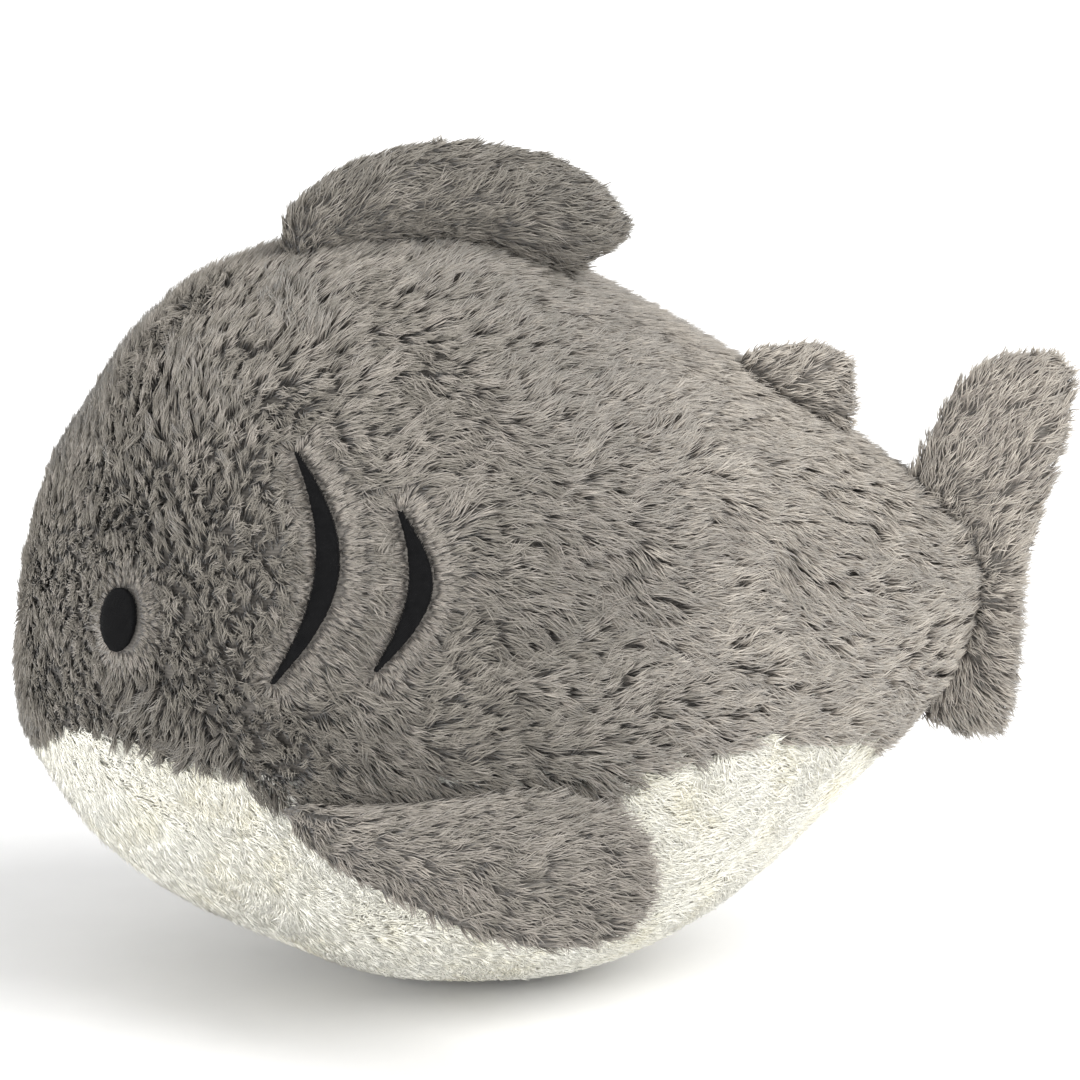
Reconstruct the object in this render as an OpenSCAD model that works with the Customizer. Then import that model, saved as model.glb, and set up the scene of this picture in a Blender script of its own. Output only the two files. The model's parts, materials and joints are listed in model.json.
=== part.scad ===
// Plush shark: two grey side panels and a white belly panel sewn round a fibre
// filling, with five small sewn fins. Millimetres. +Z is up, the head points to
// -Y, the tail to +Y, and the animal's own left side is +X. The flat of the
// belly lies on z = 0.

/* [Body] */
// Length of the stuffed body from the snout to the tail seam
body_length = 364; // [330:1:400]
// Width of the body at its widest
body_width = 272; // [230:1:290]
// Height of the body from the floor to the top of the back
body_height = 282; // [250:1:300]

/* [Cloth and thread] */
// Thickness of the pile cloth, from its inside to the middle of the pile
cloth_t = 3; // [2:0.5:4]
// Width of the slot between two sewn cloth edges
seam_slot = 0.8; // [0.6:0.1:1]
// Thickness of the sewing thread
thread_d = 0.4; // [0.3:0.1:0.5]

/* [Fins] */
// Thickness of the dorsal fin at its fullest
dorsal_thick = 28; // [18:1:34]
// Thickness of the second dorsal fin at its fullest
second_thick = 17; // [12:1:20]
// Thickness of the tail fin at its fullest
tail_thick = 20; // [14:1:24]
// Thickness of a pectoral fin at its fullest
pectoral_thick = 20; // [14:1:22]
// Angle of a pectoral fin below the level
pectoral_droop = 45; // [35:1:50]
// Gap between the body cloth and the root of a fin
root_gap = 2.6; // [2.4:0.1:3]

/* [Face] */
// Width of an eye along the cheek
eye_w = 18; // [14:1:22]
// Height of an eye
eye_h = 23; // [18:1:28]
// Width of a gill crescent at its middle
gill_w = 8.5; // [6:0.5:10]
// Height of the satin stitching above the cloth
stitch_t = 1.6; // [1:0.1:2]

/* [Hidden] */

GREY = [0.55, 0.53, 0.49];
WHITE = [0.92, 0.91, 0.86];
BLACK = [0.09, 0.09, 0.09];
FIBRE = [0.95, 0.95, 0.93];
THREAD = [0.42, 0.40, 0.37];

// Size of the body that the cross-sections are drawn for
DRAWN_LENGTH = 364;
DRAWN_WIDTH = 272;
DRAWN_HEIGHT = 282;

// Cross-sections of the body from the snout to the tail:
// [place along Y, underside, back, half width, seam height]
SECTIONS = [
    [-197.5, 117, 119, 1, 88],
    [-194, 94, 154, 30, 88],
    [-184, 77, 193, 57, 89],
    [-164, 51, 225, 85, 98],
    [-134, 30, 259, 112, 104],
    [-98, 13, 275, 127, 99],
    [-60, -2, 282, 134.5, 100],
    [-20, -4, 281, 136, 105],
    [20, 1, 262, 126, 107],
    [60, 21, 241, 107, 110],
    [95, 50, 218, 79, 105],
    [125, 81, 198, 48, 97],
    [145, 101, 186, 30, 93],
    [158, 118, 173, 17, 90],
    [166.5, 141, 147, 3, 90]];
LAST = len(SECTIONS) - 1;
SCALE = [body_length / DRAWN_LENGTH, body_height / DRAWN_HEIGHT, body_width / DRAWN_WIDTH];

// How finely the panels and threads are divided
SIDE_COLUMNS = 12;
BELLY_COLUMNS = 14;
BELLY_ROWS = 22;
NOSE_ROWS = 3;
TAIL_END_ROWS = 4;
THREAD_SIDES = 6;

// Gap between the cloth and the filling inside it
BODY_FILL_GAP = 1.2;
FIN_FILL_GAP = 0.3;
// How far the belly cloth reaches below the floor before it is cut flat
FLOOR_CUT = 0.5;
// Sections between a tip of the belly panel and the first row of its cloth
TIP_STEP = 0.1;

// A smooth curve through the points of a list; t runs from 0 to len - 1
function curve(list, t) =
    let (n = len(list) - 1, i = max(0, min(floor(t), n - 1)), u = t - i,
         b = list[i], c = list[i + 1],
         a = i > 0 ? list[i - 1] : 2 * b - c,
         d = i < n - 1 ? list[i + 2] : 2 * c - b)
    0.5 * (2 * b + (c - a) * u + (2 * a - 5 * b + 4 * c - d) * u * u
           + (3 * b - a - 3 * c + d) * u * u * u);

// The same curve with t running from 0 to 1
function share(list, t) = curve(list, t * (len(list) - 1));

// ---- Body surface ----

function section(s) =
    let (k = curve(SECTIONS, s))
    [k[0] * SCALE[0], k[1] * SCALE[1], k[2] * SCALE[1], k[3] * SCALE[2], k[4] * SCALE[1]];

// Point of the body at section s and ring angle f, counted from the back
function on_body(s, f) =
    let (k = section(s), mid = (k[1] + k[2]) / 2, half = (k[2] - k[1]) / 2)
    [k[3] * sin(f), k[0], mid + half * cos(f)];

function outward(s, f) =
    let (along = on_body(min(s + 0.02, LAST), f) - on_body(max(s - 0.02, 0), f),
         round = on_body(s, f + 1) - on_body(s, f - 1),
         c = cross(round, along))
    c / norm(c);

// Cloth point moved in by a depth, and held flat where the belly meets the floor
function skin(s, f, depth) =
    let (p = on_body(s, f) - depth * outward(s, f), low = depth > 0 ? depth : -FLOOR_CUT)
    [p[0], p[1], max(p[2], low)];

function seam_open(s) = section(s)[4] > section(s)[1];

// Section where the belly panel ends, between a closed and an open section
function panel_tip(shut, open, n = 20) =
    let (m = (shut + open) / 2)
    n == 0 ? m : seam_open(m) ? panel_tip(shut, m, n - 1) : panel_tip(m, open, n - 1);

FRONT_TIP = panel_tip(1, 2);
REAR_TIP = panel_tip(12, 11);

// Ring angle of the seam between a side panel and the belly panel
function seam_angle(s) =
    let (k = section(s), mid = (k[1] + k[2]) / 2, half = (k[2] - k[1]) / 2)
    s <= FRONT_TIP || s >= REAR_TIP ? 180 : acos(max(-1, (k[4] - mid) / half));

// Half the seam slot as a ring angle
function slot_angle(s) = let (k = section(s)) seam_slot / 2 / max(k[3], 2) * 180 / PI;

BELLY_STATIONS = [for (i = [0 : BELLY_ROWS])
    FRONT_TIP + TIP_STEP + (REAR_TIP - FRONT_TIP - 2 * TIP_STEP) * i / BELLY_ROWS];
NOSE_STATIONS = [for (i = [0 : NOSE_ROWS]) FRONT_TIP * i / NOSE_ROWS];
TAIL_STATIONS = [for (i = [0 : TAIL_END_ROWS])
    REAR_TIP + (LAST - REAR_TIP) * i / TAIL_END_ROWS];
STATIONS = concat(NOSE_STATIONS, BELLY_STATIONS, TAIL_STATIONS);

function side_grid(depth) = [for (s = STATIONS)
    let (a = slot_angle(s), z = seam_angle(s) - slot_angle(s))
    [for (j = [0 : SIDE_COLUMNS]) skin(s, a + (z - a) * j / SIDE_COLUMNS, depth)]];

function belly_grid(depth) = [for (s = BELLY_STATIONS)
    let (a = seam_angle(s) + slot_angle(s), z = 360 - a)
    [for (j = [0 : BELLY_COLUMNS]) skin(s, a + (z - a) * j / BELLY_COLUMNS, depth)]];

// ---- Solids from grids of points ----

function flatten(rows) = [for (r = rows) each r];

// Two triangles on the four corners of a cell
function cell(a, b, c, d) = [[a, b, c], [a, c, d]];

// Closed solid between two grids of the same size, whose first grid faces the side
// that its columns crossed with its rows point to
module between(near, far) {
    n = len(near);
    m = len(near[0]);
    k = n * m;
    top = [for (i = [0 : n - 2], j = [0 : m - 2])
        each cell(i * m + j, (i + 1) * m + j, (i + 1) * m + j + 1, i * m + j + 1)];
    base = [for (t = top) [t[2] + k, t[1] + k, t[0] + k]];
    ends = [for (j = [0 : m - 2]) each concat(
        cell(j, j + 1, j + 1 + k, j + k),
        cell((n - 1) * m + j + 1, (n - 1) * m + j, (n - 1) * m + j + k,
             (n - 1) * m + j + 1 + k))];
    sides = [for (i = [0 : n - 2]) each concat(
        cell((i + 1) * m, i * m, i * m + k, (i + 1) * m + k),
        cell(i * m + m - 1, (i + 1) * m + m - 1, (i + 1) * m + m - 1 + k,
             i * m + m - 1 + k))];
    polyhedron(concat(flatten(near), flatten(far)), concat(top, base, ends, sides));
}

// Round thread along a list of points
module thread(path, d = thread_d) {
    n = len(path);
    rings = [for (i = [0 : n - 1])
        let (t = path[min(i + 1, n - 1)] - path[max(i - 1, 0)],
             w = t / norm(t),
             side = abs(w[2]) > 0.9 ? [1, 0, 0] : [0, 0, 1],
             a = cross(w, side) / norm(cross(w, side)),
             b = cross(w, a))
        [for (q = [0 : THREAD_SIDES - 1])
            path[i] + d / 2 * (a * cos(q * 360 / THREAD_SIDES)
                               + b * sin(q * 360 / THREAD_SIDES))]];
    m = THREAD_SIDES;
    walls = [for (i = [0 : n - 2], q = [0 : m - 1])
        each cell(i * m + q, (i + 1) * m + q, (i + 1) * m + (q + 1) % m,
                  i * m + (q + 1) % m)];
    caps = [[for (q = [0 : m - 1]) q], [for (q = [m - 1 : -1 : 0]) (n - 1) * m + q]];
    polyhedron(flatten(rings), concat(walls, caps));
}

// ---- Body pieces ----

module body_stuffing() {
    depth = cloth_t + BODY_FILL_GAP;
    columns = 2 * SIDE_COLUMNS + BELLY_COLUMNS;
    n = len(STATIONS);
    rings = [for (s = STATIONS) [for (j = [0 : columns - 1])
        skin(s, 360 * j / columns, depth)]];
    walls = [for (i = [0 : n - 2], j = [0 : columns - 1])
        each cell(i * columns + j, (i + 1) * columns + j,
                  (i + 1) * columns + (j + 1) % columns, i * columns + (j + 1) % columns)];
    caps = [[for (j = [0 : columns - 1]) j],
            [for (j = [columns - 1 : -1 : 0]) (n - 1) * columns + j]];
    color(FIBRE) polyhedron(flatten(rings), concat(walls, caps));
}

module left_side_panel() {
    color(GREY) between(side_grid(0), side_grid(cloth_t));
}

module right_side_panel() {
    mirror([1, 0, 0]) left_side_panel();
}

// The resting face is cut flat at z = 0
module belly_panel() {
    big = 2 * body_length;
    color(WHITE) difference() {
        between(belly_grid(0), belly_grid(cloth_t));
        translate([-big / 2, -big / 2, -big]) cube(big);
    }
}

// Sections at each end of the body that the back seam's thread leaves free
BACK_SEAM_END = 0.4;
module back_seam_thread() {
    color(THREAD) thread([for (s = STATIONS) if (s > BACK_SEAM_END && s < LAST - BACK_SEAM_END)
        skin(s, 0, cloth_t / 2)]);
}

// Rows at each tip of the belly panel, where its seam turns across the body, left unthreaded
TIP_ROWS = 2;
module left_belly_seam_thread() {
    color(THREAD) thread([for (i = [TIP_ROWS : BELLY_ROWS - TIP_ROWS])
        let (s = BELLY_STATIONS[i])
        skin(s, seam_angle(s), cloth_t / 2)]);
}

module right_belly_seam_thread() {
    mirror([1, 0, 0]) left_belly_seam_thread();
}

// Ladder stitches that close the stuffing hole in the right belly seam
CLOSING_FROM = 9.4;
CLOSING_TO = 10.6;
CLOSING_STITCHES = 10;
STITCH_REACH = 1.1;
module closing_stitches() {
    color(THREAD) thread([for (i = [0 : 2 * CLOSING_STITCHES])
        let (s = CLOSING_FROM + (CLOSING_TO - CLOSING_FROM) * i / (2 * CLOSING_STITCHES),
             wide = STITCH_REACH / section(s)[3] * 180 / PI,
             side = i % 4 < 2 ? 1 : -1)
        skin(s, 360 - seam_angle(s) + side * wide, -thread_d)]);
}

// ---- Eyes and gills: satin stitching that follows the cheek ----

// Gap between the cloth and the foot of the stitching
STITCH_FOOT = 0.2;
// Middle of an eye: [section, ring angle]
EYE_AT = [3.35, 78];
// How much higher an eye is at its middle than at its rim
EYE_CROWN = 0.5;
EYE_RINGS = 4;
EYE_SPOKES = 24;

// Point of the stitching, r from 0 at the middle to 1 at the rim
function eye_point(r, turn, lift) =
    let (s = EYE_AT[0], f = EYE_AT[1],
         per_s = norm(on_body(s + 0.05, f) - on_body(s - 0.05, f)) / 0.1,
         per_f = norm(on_body(s, f + 1) - on_body(s, f - 1)) / 2)
    skin(s + r * eye_w / 2 * cos(turn) / per_s, f + r * eye_h / 2 * sin(turn) / per_f,
         -lift);

module left_eye() {
    rim_lift = STITCH_FOOT + stitch_t;
    rows = [for (i = [EYE_RINGS : -1 : 1]) let (r = i / EYE_RINGS)
        [for (q = [0 : EYE_SPOKES - 1])
            eye_point(r, q * 360 / EYE_SPOKES, rim_lift + EYE_CROWN * (1 - r * r))]];
    under = [for (q = [0 : EYE_SPOKES - 1]) eye_point(1, q * 360 / EYE_SPOKES, STITCH_FOOT)];
    m = EYE_SPOKES;
    low = EYE_RINGS * m;
    centre = low + m;
    walls = [for (i = [0 : EYE_RINGS - 2], q = [0 : m - 1])
        each cell(i * m + q, i * m + (q + 1) % m, (i + 1) * m + (q + 1) % m, (i + 1) * m + q)];
    rim = [for (q = [0 : m - 1]) each cell(low + q, low + (q + 1) % m, (q + 1) % m, q)];
    cap = [for (q = [0 : m - 1])
        [(EYE_RINGS - 1) * m + q, (EYE_RINGS - 1) * m + (q + 1) % m, centre]];
    foot = [for (q = [0 : m - 1]) [low + (q + 1) % m, low + q, centre + 1]];
    color(BLACK) polyhedron(
        concat(flatten(rows), under,
               [eye_point(0, 0, rim_lift + EYE_CROWN), eye_point(0, 0, STITCH_FOOT)]),
        concat(walls, rim, cap, foot));
}

module right_eye() {
    mirror([1, 0, 0]) left_eye();
}

GILL_ROWS = 16;
// Width of a gill at its tips, as a share of the width at its middle
GILL_TIP = 0.08;
// [section at the upper tip, at the lower tip, ring angle of each, bulge in sections]
FRONT_GILL = [5.24, 5.01, 52, 89.2, 0.42];
REAR_GILL = [6.22, 6.0, 61.3, 85, 0.3];

function gill_grid(g, lift) = [for (i = [0 : GILL_ROWS])
    let (t = i / GILL_ROWS,
         s = g[0] + (g[1] - g[0]) * t + g[4] * sin(180 * t),
         f = g[2] + (g[3] - g[2]) * t,
         per_s = norm(on_body(s + 0.05, f) - on_body(s - 0.05, f)) / 0.1,
         w = (GILL_TIP + (1 - GILL_TIP) * sin(180 * t)) * gill_w / per_s)
    [for (e = [-0.5, 0, 0.5]) skin(s + e * w, f, -lift)]];

module gill(g) {
    color(BLACK) between(gill_grid(g, STITCH_FOOT), gill_grid(g, STITCH_FOOT + stitch_t));
}

module left_front_gill() {
    gill(FRONT_GILL);
}

module left_rear_gill() {
    gill(REAR_GILL);
}

module right_front_gill() {
    mirror([1, 0, 0]) left_front_gill();
}

module right_rear_gill() {
    mirror([1, 0, 0]) left_rear_gill();
}

// ---- Fins ----
// A fin lies in a plane given by a frame [origin, first axis, second axis]. Its two
// edges are lists of points in that plane, and it bulges between them.

FIN_COLUMNS = 6;
// Half thickness of a fin at its edge, and the gap between its covers there
EDGE = 1.2;
COVER_GAP = 0.15;
// How fast a fin fills out from its ends and from its two edges: lower is fuller
END_SWELL = 0.5;
EDGE_SWELL = 0.8;

function place(frame, p, off) =
    frame[0] + frame[1] * p[0] + frame[2] * p[1] + cross(frame[1], frame[2]) * off;

function bulge(i, n, j, full) =
    EDGE + (full - EDGE) * pow(sin(180 * i / n), END_SWELL)
                         * pow(sin(180 * j / FIN_COLUMNS), EDGE_SWELL);

function fin_grid(frame, edge_a, edge_b, rows, full, side, depth, skip = 0) =
    [for (i = [skip : rows - skip])
        let (a = share(edge_a, i / rows), b = share(edge_b, i / rows))
        [for (j = [skip : FIN_COLUMNS - skip])
            let (t = bulge(i, rows, j, full),
                 off = depth == 0 ? t : max(COVER_GAP, t - depth))
            place(frame, a + (b - a) * j / FIN_COLUMNS, side * off)]];

module fin_cover(frame, edges, rows, thick, side) {
    outer = fin_grid(frame, edges[0], edges[1], rows, thick / 2, side, 0);
    inner = fin_grid(frame, edges[0], edges[1], rows, thick / 2, side, cloth_t);
    if (side > 0)
        between(inner, outer);
    else
        between(outer, inner);
}

module fin_stuffing(frame, edges, rows, thick) {
    depth = cloth_t + FIN_FILL_GAP;
    color(FIBRE) between(
        fin_grid(frame, edges[0], edges[1], rows, thick / 2, -1, depth, 1),
        fin_grid(frame, edges[0], edges[1], rows, thick / 2, 1, depth, 1));
}

// Centre line of the body as [y, z]: top is angle 0, underside is angle 180
function ridge(s, f, lift) =
    let (p = on_body(s, f) + lift * outward(s, f)) [p[1], p[2]];

MIDPLANE = [[0, 0, 0], [0, 1, 0], [0, 0, 1]];

// Dorsal fin: a swept half-moon on the back
DORSAL_ROWS = 16;
DORSAL_ROOT = [5.1, 5.75, 6.4, 7.05, 7.7];
DORSAL_EDGES = [
    concat([for (s = DORSAL_ROOT) ridge(s, 0, root_gap)], [[20, 275], [30.5, 282]]),
    [[-97, 278], [-89, 296], [-67, 310], [-38, 317], [-5, 314], [20, 302], [31.5, 285]]];

module dorsal_fin_left_cover() {
    color(GREY) fin_cover(MIDPLANE, DORSAL_EDGES, DORSAL_ROWS, dorsal_thick, 1);
}

module dorsal_fin_right_cover() {
    color(GREY) fin_cover(MIDPLANE, DORSAL_EDGES, DORSAL_ROWS, dorsal_thick, -1);
}

module dorsal_fin_stuffing() {
    fin_stuffing(MIDPLANE, DORSAL_EDGES, DORSAL_ROWS, dorsal_thick);
}

module dorsal_fin_root_thread() {
    root_thread([for (s = DORSAL_ROOT) on_body(s, 0) + root_gap / 2 * outward(s, 0)]);
}

module root_thread(path) {
    color(THREAD) thread(path);
}

// Second dorsal fin: a small wedge near the tail
SECOND_ROWS = 10;
SECOND_ROOT = [9.4, 9.7, 10, 10.3, 10.6];
SECOND_EDGES = [
    [for (s = SECOND_ROOT) ridge(s, 0, root_gap)],
    [[74, 237], [82, 238], [92, 239.5], [104, 240], [113.5, 235]]];

module second_dorsal_fin_left_cover() {
    color(GREY) fin_cover(MIDPLANE, SECOND_EDGES, SECOND_ROWS, second_thick, 1);
}

module second_dorsal_fin_right_cover() {
    color(GREY) fin_cover(MIDPLANE, SECOND_EDGES, SECOND_ROWS, second_thick, -1);
}

module second_dorsal_fin_stuffing() {
    fin_stuffing(MIDPLANE, SECOND_EDGES, SECOND_ROWS, second_thick);
}

module second_dorsal_fin_root_thread() {
    root_thread([for (s = SECOND_ROOT) on_body(s, 0) + root_gap / 2 * outward(s, 0)]);
}

// Tail fin: two lobes round the seam at the end of the body
TAIL_ROWS = 24;
TAIL_UNDER = [11.8, 12.4, 13, 13.5];
TAIL_OVER = [13.5, 13, 12.3, 11.6];
TAIL_END_DROP = 3;
TAIL_EDGES = [
    [[165, 91], [173, 96], [176, 107], [178, 125], [178.5, 143], [181, 158], [185, 172],
     [189, 184], [192.5, 198], [195.5, 210], [197.5, 222], [196, 232], [188, 237.5]],
    concat([for (s = TAIL_UNDER) ridge(s, 180, root_gap)],
           [ridge(LAST, 0, 0) + [root_gap, -TAIL_END_DROP]],
           [for (s = TAIL_OVER) ridge(s, 0, root_gap)],
           [[146, 210], [153, 223], [161, 231.5], [172, 236.5]])];

module tail_fin_left_cover() {
    color(GREY) fin_cover(MIDPLANE, TAIL_EDGES, TAIL_ROWS, tail_thick, 1);
}

module tail_fin_right_cover() {
    color(GREY) fin_cover(MIDPLANE, TAIL_EDGES, TAIL_ROWS, tail_thick, -1);
}

module tail_fin_stuffing() {
    fin_stuffing(MIDPLANE, TAIL_EDGES, TAIL_ROWS, tail_thick);
}

module tail_fin_root_thread() {
    lift = root_gap / 2;
    under = [for (s = TAIL_UNDER) on_body(s, 180) + lift * outward(s, 180)];
    over = [for (s = TAIL_OVER) on_body(s, 0) + lift * outward(s, 0)];
    root_thread(concat(under, over));
}

// Pectoral fins: drooping leaves sewn into the belly seams
PECTORAL_ROWS = 16;
// Sections between which the root runs, and how far it stands off the seam
PECTORAL_FRONT = 5.13;
PECTORAL_REAR = 7.33;
PECTORAL_STAND = 6.4;
// Height of the root's thread above the seam
THREAD_LIFT = 0.7;
ROOT_FRONT = on_body(PECTORAL_FRONT, seam_angle(PECTORAL_FRONT))
    + PECTORAL_STAND * outward(PECTORAL_FRONT, seam_angle(PECTORAL_FRONT));
ROOT_REAR = on_body(PECTORAL_REAR, seam_angle(PECTORAL_REAR))
    + PECTORAL_STAND * outward(PECTORAL_REAR, seam_angle(PECTORAL_REAR));
ROOT_ALONG = (ROOT_REAR - ROOT_FRONT) / norm(ROOT_REAR - ROOT_FRONT);
OUT_DOWN = [cos(pectoral_droop), 0, -sin(pectoral_droop)];
ROOT_OUT = cross(cross(ROOT_ALONG, OUT_DOWN), ROOT_ALONG);
PECTORAL_PLANE = [ROOT_FRONT, ROOT_ALONG, ROOT_OUT / norm(ROOT_OUT)];
PECTORAL_EDGES = [
    [[0, -2.5], [22, 0.3], [43, 1.3], [65, 0.3], [86, -2.5], [104, 0], [119, 4], [129, 10],
     [135, 20], [138.5, 34]],
    [[-1, 1], [8, 15], [22, 27], [40, 39], [60, 51], [80, 60], [98, 64], [115, 64],
     [130, 57], [137.5, 45]]];

module left_pectoral_upper_cover() {
    color(GREY) fin_cover(PECTORAL_PLANE, PECTORAL_EDGES, PECTORAL_ROWS, pectoral_thick, -1);
}

module left_pectoral_lower_cover() {
    color(GREY) fin_cover(PECTORAL_PLANE, PECTORAL_EDGES, PECTORAL_ROWS, pectoral_thick, 1);
}

module left_pectoral_stuffing() {
    fin_stuffing(PECTORAL_PLANE, PECTORAL_EDGES, PECTORAL_ROWS, pectoral_thick);
}

module left_pectoral_root_thread() {
    root_thread([for (i = [0 : PECTORAL_ROWS])
        let (s = PECTORAL_FRONT + (PECTORAL_REAR - PECTORAL_FRONT) * i / PECTORAL_ROWS,
             f = seam_angle(s))
        on_body(s, f) + THREAD_LIFT * outward(s, f)]);
}

module right_pectoral_upper_cover() {
    mirror([1, 0, 0]) left_pectoral_upper_cover();
}

module right_pectoral_lower_cover() {
    mirror([1, 0, 0]) left_pectoral_lower_cover();
}

module right_pectoral_stuffing() {
    mirror([1, 0, 0]) left_pectoral_stuffing();
}

module right_pectoral_root_thread() {
    mirror([1, 0, 0]) left_pectoral_root_thread();
}

body_stuffing();
left_side_panel();
right_side_panel();
belly_panel();
back_seam_thread();
left_belly_seam_thread();
right_belly_seam_thread();
closing_stitches();
left_eye();
right_eye();
left_front_gill();
left_rear_gill();
right_front_gill();
right_rear_gill();
dorsal_fin_left_cover();
dorsal_fin_right_cover();
dorsal_fin_stuffing();
dorsal_fin_root_thread();
second_dorsal_fin_left_cover();
second_dorsal_fin_right_cover();
second_dorsal_fin_stuffing();
second_dorsal_fin_root_thread();
tail_fin_left_cover();
tail_fin_right_cover();
tail_fin_stuffing();
tail_fin_root_thread();
left_pectoral_upper_cover();
left_pectoral_lower_cover();
left_pectoral_stuffing();
left_pectoral_root_thread();
right_pectoral_upper_cover();
right_pectoral_lower_cover();
right_pectoral_stuffing();
right_pectoral_root_thread();
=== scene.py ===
import json
import math
import bmesh
import bpy
import numpy as np
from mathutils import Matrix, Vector
from mathutils.bvhtree import BVHTree
from mathutils.kdtree import KDTree

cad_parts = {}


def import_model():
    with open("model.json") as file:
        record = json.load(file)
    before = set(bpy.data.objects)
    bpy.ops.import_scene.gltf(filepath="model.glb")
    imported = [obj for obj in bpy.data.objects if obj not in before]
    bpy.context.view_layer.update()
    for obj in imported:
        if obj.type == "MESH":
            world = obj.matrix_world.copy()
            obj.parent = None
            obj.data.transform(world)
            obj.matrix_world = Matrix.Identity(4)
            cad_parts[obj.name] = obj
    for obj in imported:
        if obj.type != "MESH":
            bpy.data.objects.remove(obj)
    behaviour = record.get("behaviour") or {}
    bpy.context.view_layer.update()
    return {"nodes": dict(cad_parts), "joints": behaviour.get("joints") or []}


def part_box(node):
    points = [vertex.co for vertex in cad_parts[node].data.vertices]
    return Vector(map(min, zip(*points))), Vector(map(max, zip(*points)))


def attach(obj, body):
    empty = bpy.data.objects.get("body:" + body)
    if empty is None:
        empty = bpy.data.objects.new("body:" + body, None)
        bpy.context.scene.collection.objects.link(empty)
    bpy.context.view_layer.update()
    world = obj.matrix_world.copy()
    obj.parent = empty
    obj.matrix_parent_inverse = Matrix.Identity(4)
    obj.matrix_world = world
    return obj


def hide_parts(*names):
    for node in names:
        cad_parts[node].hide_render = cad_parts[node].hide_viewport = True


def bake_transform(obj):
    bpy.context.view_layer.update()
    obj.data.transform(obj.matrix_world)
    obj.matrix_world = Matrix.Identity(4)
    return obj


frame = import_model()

MM = 0.001
NODES = frame["nodes"]
PANELS = ("left_side_panel", "right_side_panel", "belly_panel")
CLOTH = 1.0 * MM
FLOOR_CLEAR = 0.4 * MM


# ---- Numbers and meshes ----

def unit(v):
    return v / np.maximum(np.linalg.norm(v, axis=-1, keepdims=True), 1e-12)


def ease(x, low, high):
    t = np.clip((x - low) / (high - low), 0.0, 1.0)
    return t * t * (3.0 - 2.0 * t)


def across(v, normal):
    """The part of v that lies along the surface, as a unit vector."""
    return unit(v - normal * np.sum(v * normal, axis=-1, keepdims=True))


def turned(v, normal, angle):
    """v, which lies along the surface, turned about the normal."""
    side = np.cross(normal, v)
    return v * np.cos(angle)[:, None] + side * np.sin(angle)[:, None]


def waves(points, scale, seed):
    """Smooth noise between about -1 and 1, with features of the given size."""
    rng = np.random.default_rng(seed)
    total = np.zeros(len(points))
    for _ in range(9):
        way = unit(rng.normal(size=3)) * 2.0 * math.pi / scale * rng.uniform(0.55, 1.5)
        total += np.sin(points @ way + rng.uniform(0.0, 2.0 * math.pi))
    return total / 3.0


def arc_lengths(line):
    """Distance along a line of points, from its first point to each."""
    steps = np.linalg.norm(np.diff(line, axis=0), axis=1)
    return np.concatenate([[0.0], np.cumsum(steps)])


def vectors(items, key):
    values = np.empty(len(items) * 3, np.float32)
    items.foreach_get(key, values)
    return values.reshape(-1, 3).astype(float)


def points_of(obj):
    return vectors(obj.data.vertices, "co")


def set_points(obj, points):
    obj.data.vertices.foreach_set("co", points.astype(np.float32).ravel())
    obj.data.update()


def normals_of(obj):
    return unit(vectors(obj.data.vertex_normals, "vector"))


def triangles_of(obj):
    obj.data.calc_loop_triangles()
    tri = np.empty(len(obj.data.loop_triangles) * 3, np.int32)
    obj.data.loop_triangles.foreach_get("vertices", tri)
    return tri.reshape(-1, 3)


def linked(name, data):
    """New object in the scene."""
    obj = bpy.data.objects.new(name, data)
    bpy.context.scene.collection.objects.link(obj)
    return obj


def mesh_object(name, points, corners):
    """Object of faces that all have the same number of corners."""
    mesh = bpy.data.meshes.new(name)
    size = corners.shape[1]
    mesh.vertices.add(len(points))
    mesh.vertices.foreach_set("co", points.astype(np.float32).ravel())
    mesh.loops.add(corners.size)
    mesh.loops.foreach_set("vertex_index", corners.astype(np.int32).ravel())
    mesh.polygons.add(len(corners))
    starts = np.arange(0, corners.size, size, dtype=np.int32)
    mesh.polygons.foreach_set("loop_start", starts)
    mesh.update(calc_edges=True)
    mesh.shade_smooth()
    return linked(name, mesh)


def joined_copy(names, name):
    """One mesh made of copies of CAD nodes."""
    points = []
    faces = []
    count = 0
    for n in names:
        points.append(points_of(NODES[n]))
        faces.append(triangles_of(NODES[n]) + count)
        count += len(points[-1])
    return mesh_object(name, np.vstack(points), np.vstack(faces))


def modified(obj, kind, **settings):
    """New object with one modifier applied; obj is removed."""
    change = obj.modifiers.new(kind.title(), kind)
    for key, value in settings.items():
        setattr(change, key, value)
    graph = bpy.context.evaluated_depsgraph_get()
    mesh = bpy.data.meshes.new_from_object(obj.evaluated_get(graph))
    name = obj.name
    bpy.data.objects.remove(obj)
    mesh.name = name
    mesh.shade_smooth()
    return linked(name, mesh)


def remeshed(obj, voxel):
    return modified(obj, "REMESH", mode="VOXEL", voxel_size=voxel)


def smoothed(obj, rounds):
    return modified(obj, "SMOOTH", factor=0.5, iterations=rounds)


def largest_part(obj):
    """Removes everything but the largest connected part."""
    bm = bmesh.new()
    bm.from_mesh(obj.data)
    left = set(bm.verts)
    parts = []
    while left:
        part = []
        stack = [left.pop()]
        while stack:
            v = stack.pop()
            part.append(v)
            for e in v.link_edges:
                o = e.other_vert(v)
                if o in left:
                    left.remove(o)
                    stack.append(o)
        parts.append(part)
    parts.sort(key=len)
    for part in parts[:-1]:
        bmesh.ops.delete(bm, geom=part, context="VERTS")
    bm.to_mesh(obj.data)
    bm.free()


def surface_of(obj):
    """Search tree over an object's faces."""
    return BVHTree.FromPolygons([Vector(p) for p in points_of(obj)],
                                [tuple(int(i) for i in t) for t in triangles_of(obj)])


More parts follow.
